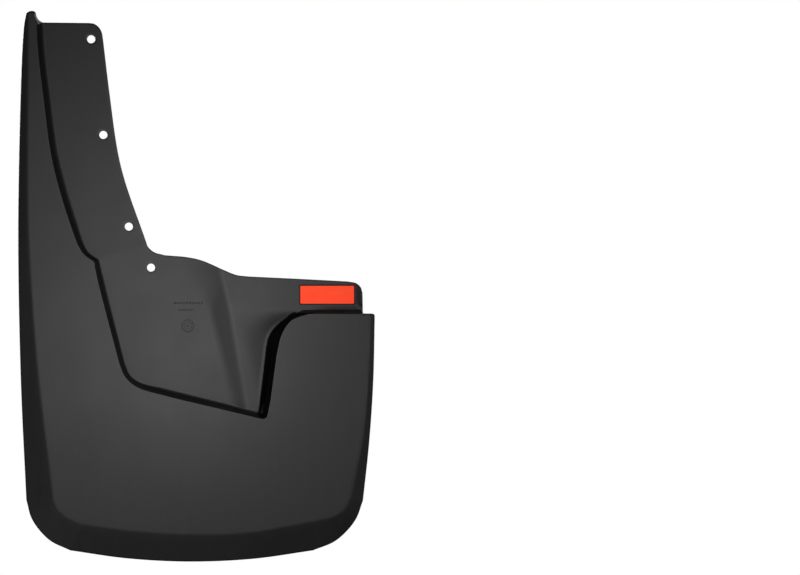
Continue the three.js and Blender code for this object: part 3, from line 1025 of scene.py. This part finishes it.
def grained_black_tpo():
    """Black thermoplastic polyolefin, injection moulded in an etched tool. The etching leaves a fine pebbled
    grain that breaks reflections into a broad soft sheen; the melt's flow leaves faint clouds and streaks in
    that sheen. Steep walls come out of the tool ungrained, and their colour is painted near black as shade;
    convex edges are coloured a little lighter and are a little smoother."""
    material, tree = new_material("black_tpo_injection_moulded")
    place = add_node(tree, "ShaderNodeTexCoord").outputs["Object"]
    wall = add_node(tree, "ShaderNodeAttribute", attribute_name="ungrained_wall_and_shade").outputs["Fac"]
    convex_share = add_node(tree, "ShaderNodeAttribute", attribute_name="convex_edge").outputs["Fac"]

    # Where the melt met cooler steel it left clouds some 45 mm across and streaks 7 mm wide along its flow.
    clouds = add_node(
        tree, "ShaderNodeTexNoise",
        {"Vector": place, "Scale": per_metre(45), "Detail": 3.0, "Roughness": 0.55},
    ).outputs["Fac"]
    along_flow = add_node(
        tree, "ShaderNodeMapping", {"Vector": place, "Rotation": (0, FLOW_LEAN, 0), "Scale": (1, 1, 0.08)},
    ).outputs["Vector"]
    streaks = add_node(
        tree, "ShaderNodeTexNoise", {"Vector": along_flow, "Scale": per_metre(7), "Detail": 2.0},
    ).outputs["Fac"]
    streak_share = add_node(
        tree, "ShaderNodeMapRange",
        {"Value": streaks, "From Min": 0.45, "From Max": 0.7, "To Min": 0.0, "To Max": 0.35},
    ).outputs["Result"]

    # Convex edges are coloured lighter in patches of about 9 mm.
    patches = add_node(
        tree, "ShaderNodeTexNoise",
        {"Vector": place, "Scale": per_metre(9), "Detail": 4.0, "Roughness": 0.7},
    ).outputs["Fac"]
    patch_share = add_node(
        tree, "ShaderNodeMapRange",
        {"Value": patches, "From Min": 0.35, "From Max": 0.65, "To Min": 0.1, "To Max": 0.8},
    ).outputs["Result"]
    edge_lightening = add_node(tree, "ShaderNodeMath", {0: convex_share, 1: patch_share}, operation="MULTIPLY").outputs[0]

    clouded = add_node(
        tree, "ShaderNodeMix", {FACTOR: clouds, MIX_FROM: linear("#1c1c1d"), MIX_TO: linear("#212122")},
        data_type="RGBA",
    ).outputs[MIXED]
    streaked = add_node(
        tree, "ShaderNodeMix", {FACTOR: streak_share, MIX_FROM: clouded, MIX_TO: linear("#262627")},
        data_type="RGBA",
    ).outputs[MIXED]
    # Convex edges are coloured a little lighter.
    edge_lightened = add_node(
        tree, "ShaderNodeMix", {FACTOR: edge_lightening, MIX_FROM: streaked, MIX_TO: linear("#303031")},
        data_type="RGBA",
    ).outputs[MIXED]
    # Steep walls and the trench are painted near black: painted shade.
    tint = add_node(
        tree, "ShaderNodeMix", {FACTOR: wall, MIX_FROM: edge_lightened, MIX_TO: linear("#070707")},
        data_type="RGBA",
    ).outputs[MIXED]

    # The sheen is a little sharper where the melt pressed harder, and on convex edges.
    cloud_sheen = add_node(
        tree, "ShaderNodeMapRange",
        {
            "Value": clouds, "From Min": 0.3, "From Max": 0.7,
            "To Min": SHEEN_ROUGHNESS - 0.02, "To Max": SHEEN_ROUGHNESS + 0.02,
        },
    ).outputs["Result"]
    streak_sheen = add_node(
        tree, "ShaderNodeMapRange",
        {"Value": streaks, "From Min": 0.3, "From Max": 0.7, "To Min": -0.01, "To Max": 0.01},
    ).outputs["Result"]
    moulded_sheen = add_node(
        tree, "ShaderNodeMath", {0: cloud_sheen, 1: streak_sheen}, operation="ADD",
    ).outputs[0]
    sheen = add_node(
        tree, "ShaderNodeMath", {0: convex_share, 1: -0.06, 2: moulded_sheen}, operation="MULTIPLY_ADD",
    ).outputs[0]

    # The real grain is about 0.15 mm across; it is drawn at 1.1 mm, so that it shows at all.
    grain = add_node(
        tree, "ShaderNodeTexVoronoi", {"Vector": place, "Scale": per_metre(1.1), "Smoothness": 0.6},
        feature="SMOOTH_F1",
    ).outputs["Distance"]
    grained_share = add_node(tree, "ShaderNodeMath", {0: 1.0, 1: wall}, operation="SUBTRACT").outputs[0]
    etched = add_node(tree, "ShaderNodeMath", {0: grain, 1: grained_share}, operation="MULTIPLY").outputs[0]
    bump = add_node(tree, "ShaderNodeBump", {"Height": etched, "Strength": 0.09, "Distance": 0.2 * MM})
    shader = add_node(
        tree, "ShaderNodeBsdfPrincipled",
        {"Base Color": tint, "Roughness": sheen, "Normal": bump.outputs["Normal"], "IOR": 1.5},
    )
    add_node(tree, "ShaderNodeOutputMaterial", {"Surface": shader.outputs["BSDF"]})
    return material


def trench_tpo_painted_shade():
    """The same plastic on the walls of the deep trench, where the tool is left rough from the cutter. Its
    colour is painted near black and its sheen is turned almost off, as painted shade for so narrow a gap;
    faint lines run down it along the draw."""
    material, tree = new_material("black_tpo_trench_painted_shade")
    place = add_node(tree, "ShaderNodeTexCoord").outputs["Object"]
    # Cutter lines are about 0.3 mm apart; they are drawn at 1.5 mm.
    along_draw = add_node(
        tree, "ShaderNodeMapping", {"Vector": place, "Scale": (1, 0.1, 1)},
    ).outputs["Vector"]
    lines = add_node(
        tree, "ShaderNodeTexNoise", {"Vector": along_draw, "Scale": per_metre(1.5), "Detail": 2.0},
    ).outputs["Fac"]
    # The near-black colour is painted shade; the cutter lines only vary it a little.
    tint = add_node(
        tree, "ShaderNodeMix", {FACTOR: lines, MIX_FROM: linear("#020202"), MIX_TO: linear("#0a0a0a")},
        data_type="RGBA",
    ).outputs[MIXED]
    dullness = add_node(
        tree, "ShaderNodeMapRange",
        {"Value": lines, "From Min": 0.3, "From Max": 0.7, "To Min": 0.68, "To Max": 0.78},
    ).outputs["Result"]
    bump = add_node(tree, "ShaderNodeBump", {"Height": lines, "Strength": 0.2, "Distance": 0.1 * MM})
    shader = add_node(
        tree, "ShaderNodeBsdfPrincipled",
        {
            "Base Color": tint, "Roughness": dullness, "Normal": bump.outputs["Normal"],
            "IOR": 1.5, "Specular IOR Level": 0.06,
        },
    )
    add_node(tree, "ShaderNodeOutputMaterial", {"Surface": shader.outputs["BSDF"]})
    return material


def closed_cell_foam():
    """Black polyethylene foam, extruded and slit: matt, with the cut cells showing as fine pits, painted
    darker at their bottoms as shade.
    """
    material, tree = new_material("black_polyethylene_foam_slit")
    place = add_node(tree, "ShaderNodeTexCoord").outputs["Object"]
    # Real cells are about 0.2 mm across; they are drawn at 0.7 mm, so that they show.
    cells = add_node(
        tree, "ShaderNodeTexVoronoi", {"Vector": place, "Scale": per_metre(0.7)},
    ).outputs["Distance"]
    clouds = add_node(
        tree, "ShaderNodeTexNoise", {"Vector": place, "Scale": per_metre(6), "Detail": 2.0},
    ).outputs["Fac"]
    dusty_share = add_node(
        tree, "ShaderNodeMapRange",
        {"Value": clouds, "From Min": 0.4, "From Max": 0.7, "To Min": 0.0, "To Max": 0.4},
    ).outputs["Result"]
    # The pits are painted darker towards their bottoms: painted shade.
    pits_painted_shade = add_node(
        tree, "ShaderNodeMix", {FACTOR: cells, MIX_FROM: linear("#0b0b0b"), MIX_TO: linear("#1a1a1b")},
        data_type="RGBA",
    ).outputs[MIXED]
    tint = add_node(
        tree, "ShaderNodeMix", {FACTOR: dusty_share, MIX_FROM: pits_painted_shade, MIX_TO: linear("#202021")},
        data_type="RGBA",
    ).outputs[MIXED]
    dullness = add_node(
        tree, "ShaderNodeMapRange", {"Value": clouds, "To Min": 0.88, "To Max": 0.96},
    ).outputs["Result"]
    bump = add_node(tree, "ShaderNodeBump", {"Height": cells, "Strength": 0.5, "Distance": 0.15 * MM})
    shader = add_node(
        tree, "ShaderNodeBsdfPrincipled",
        {"Base Color": tint, "Roughness": dullness, "Normal": bump.outputs["Normal"], "IOR": 1.45},
    )
    add_node(tree, "ShaderNodeOutputMaterial", {"Surface": shader.outputs["BSDF"]})
    return material


def red_release_film():
    """Orange-red polyethylene release film, calendered: a strong even colour under a soft gloss, painted
    with a faint glow that makes it brighter than its surroundings, and long faint waves from the roll whose
    lighter colour is a painted highlight."""
    material, tree = new_material("red_polyethylene_film_calendered")
    place = add_node(tree, "ShaderNodeTexCoord").outputs["Object"]
    clouds = add_node(
        tree, "ShaderNodeTexNoise", {"Vector": place, "Scale": per_metre(14), "Detail": 2.0},
    ).outputs["Fac"]
    rolled = add_node(
        tree, "ShaderNodeMapping", {"Vector": place, "Scale": (0.12, 1, 1)},
    ).outputs["Vector"]
    # Roll waves stand about 3 mm apart.
    waves = add_node(
        tree, "ShaderNodeTexNoise", {"Vector": rolled, "Scale": per_metre(3), "Detail": 1.0},
    ).outputs["Fac"]
    # Along the waves the colour is painted lighter, as a painted highlight.
    wave_painted_highlight = add_node(
        tree, "ShaderNodeMapRange",
        {"Value": waves, "From Min": 0.5, "From Max": 0.75, "To Min": 0.0, "To Max": 0.3},
    ).outputs["Result"]
    clouded = add_node(
        tree, "ShaderNodeMix", {FACTOR: clouds, MIX_FROM: linear("#ff3c1c"), MIX_TO: linear("#ff4a28")},
        data_type="RGBA",
    ).outputs[MIXED]
    tint = add_node(
        tree, "ShaderNodeMix", {FACTOR: wave_painted_highlight, MIX_FROM: clouded, MIX_TO: linear("#ff6040")},
        data_type="RGBA",
    ).outputs[MIXED]
    gloss = add_node(
        tree, "ShaderNodeMapRange", {"Value": clouds, "To Min": 0.5, "To Max": 0.6},
    ).outputs["Result"]
    bump = add_node(tree, "ShaderNodeBump", {"Height": waves, "Strength": 0.25, "Distance": 0.05 * MM})
    # The emission is a painted glow that lifts the film above the light falling on it.
    shader = add_node(
        tree, "ShaderNodeBsdfPrincipled",
        {
            "Base Color": tint, "Roughness": gloss, "Normal": bump.outputs["Normal"], "IOR": 1.5,
            "Specular IOR Level": 0.2, "Emission Color": linear("#ff4a1c"), "Emission Strength": FILM_PAINTED_GLOW,
        },
    )
    add_node(tree, "ShaderNodeOutputMaterial", {"Surface": shader.outputs["BSDF"]})
    return material


TPO = grained_black_tpo()
TRENCH_TPO_PAINTED_SHADE = trench_tpo_painted_shade()
FOAM = closed_cell_foam()
FILM = red_release_film()

# ---------------------------------------------------------------- pieces

moulding = make_piece("flap_moulding_skin", moulding_patches())
moulding.data.materials.append(TPO)
moulding.data.materials.append(TRENCH_TPO_PAINTED_SHADE)
mark_walls(moulding)
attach(moulding, "flap")
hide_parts("flap_moulding")

foam = make_piece("foam_tape_pad", foam_patches())
foam.data.materials.append(FOAM)
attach(foam, "flap")
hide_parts("foam_tape")

film = make_piece("release_liner_film", film_patches())
film.data.materials.append(FILM)
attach(film, "liner")
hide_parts("release_liner")

marks = mould_marks()
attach(marks, "flap")

# ---------------------------------------------------------------- studio

VIEW_DISTANCE = 8.0
VIEW_CENTRE = (0.249, 0.0055)  # x, z; the other hand's flap would fill the right half of the view
VIEW_WIDTH = 0.8
SENSOR = 36.0
FLOOR_GAP = 0.002  # metres between the flap's lowest edge and the floor
FLOOR_REACH = 30.0
AMBIENT = 0.035
MIDDLE = (0.045, 0.0, -0.02)

# Softboxes: name, place, what it faces, side of the square in metres, power in watts. Those in front shape
# the sheen; those behind lift the back and the edges out of the dark.
SOFTBOXES = [
    ("key", (-0.06, -0.7, -0.05), (-0.06, 0.0, -0.05), 0.2, 0.84),
    ("near_middle", (0.045, -0.25, -0.05), (0.045, 0.0, -0.05), 0.12, 0.12),
    ("near_low", (0.06, -0.35, -0.09), (0.06, 0.0, -0.09), 0.12, 0.14),
    ("near_left", (-0.075, -0.25, -0.05), (-0.075, 0.0, -0.05), 0.12, 0.06),
    ("near_top", (0.045, -0.4, 0.12), (0.045, 0.0, 0.12), 0.12, 0.31),
    ("right", (0.752, -0.707, -0.02), MIDDLE, 0.3, 1.45),
    ("low_left", (-0.452, -0.709, -0.52), MIDDLE, 0.3, 1.15),
    ("low", (0.045, -0.42, -0.93), MIDDLE, 0.3, 0.15),
    ("back_left", (-0.7, 0.9, 0.35), MIDDLE, 0.5, 11.0),
    ("back_right", (0.8, 0.7, 0.2), MIDDLE, 0.5, 6.5),
    ("back_top", (0.1, 0.8, 0.8), MIDDLE, 0.5, 4.0),
]


def make_camera():
    data = bpy.data.cameras.new("camera")
    data.sensor_width = SENSOR
    data.lens = SENSOR * VIEW_DISTANCE / VIEW_WIDTH
    data.clip_end = 100
    camera = bpy.data.objects.new("camera", data)
    camera.location = (VIEW_CENTRE[0], -VIEW_DISTANCE, VIEW_CENTRE[1])
    camera.rotation_euler = (math.pi / 2, 0, 0)
    bpy.context.scene.collection.objects.link(camera)
    bpy.context.scene.camera = camera


def soft_light(name, place, target, side, power):
    """A square softbox at place that faces target, out of sight of the camera."""
    data = bpy.data.lights.new(name, "AREA")
    data.shape = "SQUARE"
    data.size = side
    data.energy = power
    light = bpy.data.objects.new(name, data)
    light.location = place
    light.rotation_mode = "QUATERNION"
    light.rotation_quaternion = (Vector(target) - Vector(place)).to_track_quat("-Z", "Y")
    light.visible_camera = False
    bpy.context.scene.collection.objects.link(light)


def make_world():
    """White to look at; a dim grey as a source of light, as in a studio lit by its softboxes alone."""
    world = bpy.data.worlds.new("studio")
    world.use_nodes = True
    tree = world.node_tree
    tree.nodes.clear()
    path = add_node(tree, "ShaderNodeLightPath")
    seen = add_node(tree, "ShaderNodeBackground", {"Color": (1, 1, 1, 1), "Strength": 1.0})
    ambient = add_node(tree, "ShaderNodeBackground", {"Color": (1, 1, 1, 1), "Strength": AMBIENT})
    both = add_node(
        tree, "ShaderNodeMixShader",
        {0: path.outputs["Is Camera Ray"], 1: ambient.outputs["Background"], 2: seen.outputs["Background"]},
    )
    add_node(tree, "ShaderNodeOutputWorld", {"Surface": both.outputs["Shader"]})
    bpy.context.scene.world = world


def make_floor(height):
    """A plain white floor that only shows: the softboxes alone light the flap."""
    material, tree = new_material("white_painted_floor")
    paint = add_node(tree, "ShaderNodeEmission", {"Color": (1, 1, 1, 1), "Strength": 1.0})
    add_node(tree, "ShaderNodeOutputMaterial", {"Surface": paint.outputs["Emission"]})
    mesh = bpy.data.meshes.new("floor")
    corners = [(x * FLOOR_REACH, y * FLOOR_REACH, height) for x, y in ((-1, -1), (1, -1), (1, 1), (-1, 1))]
    mesh.from_pydata(corners, [], [(0, 1, 2, 3)])
    mesh.materials.append(material)
    floor = bpy.data.objects.new("floor", mesh)
    bpy.context.scene.collection.objects.link(floor)
    for ray in ("visible_diffuse", "visible_glossy", "visible_transmission", "visible_shadow"):
        setattr(floor, ray, False)


make_camera()
make_world()
make_floor(CAD_BOX[0][2] - FLOOR_GAP)
for name, place, target, side, power in SOFTBOXES:
    soft_light(name, place, target, side, power)
bpy.context.scene.view_settings.view_transform = "Standard"
